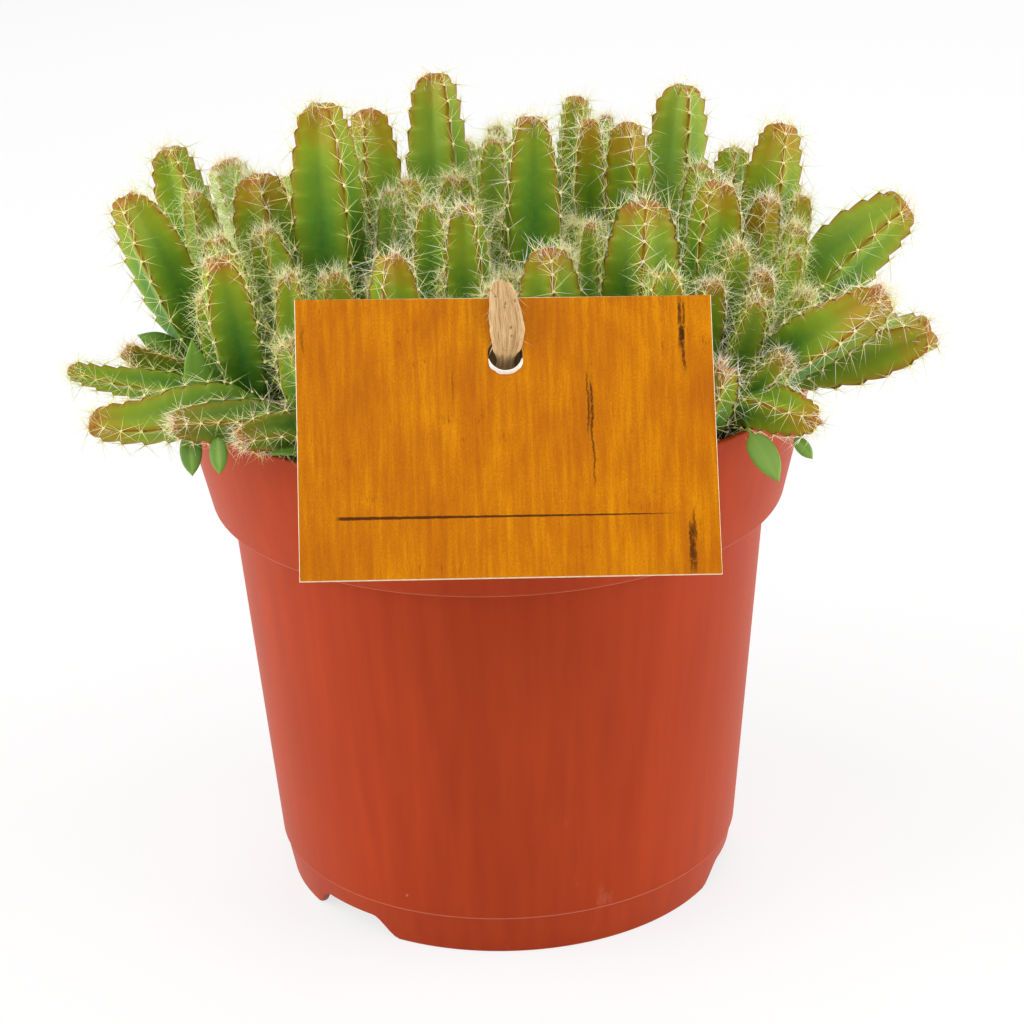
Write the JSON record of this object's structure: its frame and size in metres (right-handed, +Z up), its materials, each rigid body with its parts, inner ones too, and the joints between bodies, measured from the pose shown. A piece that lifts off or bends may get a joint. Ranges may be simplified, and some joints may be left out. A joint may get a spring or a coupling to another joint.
{
  "type": "potted dragon fruit cactus",
  "caption": "Clump of young ribbed dragon fruit cactus stems in a round nursery pot with soil, seed leaves, and a wood-look card tied on with raffia.",
  "frame": {"origin": "on the pot's axis, in the plane that the pot stands on", "axes": "+Z up the pot's axis; the card faces -Y; +X is to the right of someone who looks at the card"},
  "size_m": [0.1674, 0.1553, 0.167],
  "materials": {
    "pot": "satin terracotta-coloured moulded plastic",
    "soil": "loose dark potting soil",
    "card": "printed card with a warm wood grain",
    "raffia": "dry pale raffia fibre",
    "stem": "waxy green cactus skin with pale spines",
    "leaf": "smooth fleshy seed leaf"
  },
  "bodies": {
    "root": {"pot": "pot", "potting_soil": "soil", "label_card": "card", "raffia_tie": "raffia", "stem_01": "stem", "stem_02": "stem", "stem_03": "stem", "stem_04": "stem", "stem_05": "stem", "stem_06": "stem", "stem_07": "stem", "stem_08": "stem", "stem_09": "stem", "stem_10": "stem", "stem_11": "stem", "stem_12": "stem", "stem_13": "stem", "stem_14": "stem", "stem_15": "stem", "stem_16": "stem", "stem_17": "stem", "stem_18": "stem", "stem_19": "stem", "stem_20": "stem", "stem_21": "stem", "stem_22": "stem", "stem_23": "stem", "stem_24": "stem", "stem_25": "stem", "stem_26": "stem", "stem_27": "stem", "stem_28": "stem", "stem_29": "stem", "stem_30": "stem", "stem_31": "stem", "stem_32": "stem", "stem_33": "stem", "stem_34": "stem", "stem_35": "stem", "stem_36": "stem", "stem_37": "stem", "stem_38": "stem", "stem_39": "stem", "stem_40": "stem", "stem_41": "stem", "stem_42": "stem", "stem_43": "stem", "stem_44": "stem", "stem_45": "stem", "stem_46": "stem", "stem_47": "stem", "stem_48": "stem", "seed_leaf_1": "leaf", "seed_leaf_2": "leaf", "seed_leaf_3": "leaf", "seed_leaf_4": "leaf", "seed_leaf_5": "leaf", "seed_leaf_6": "leaf", "seed_leaf_7": "leaf"}
  },
  "joints": []
}
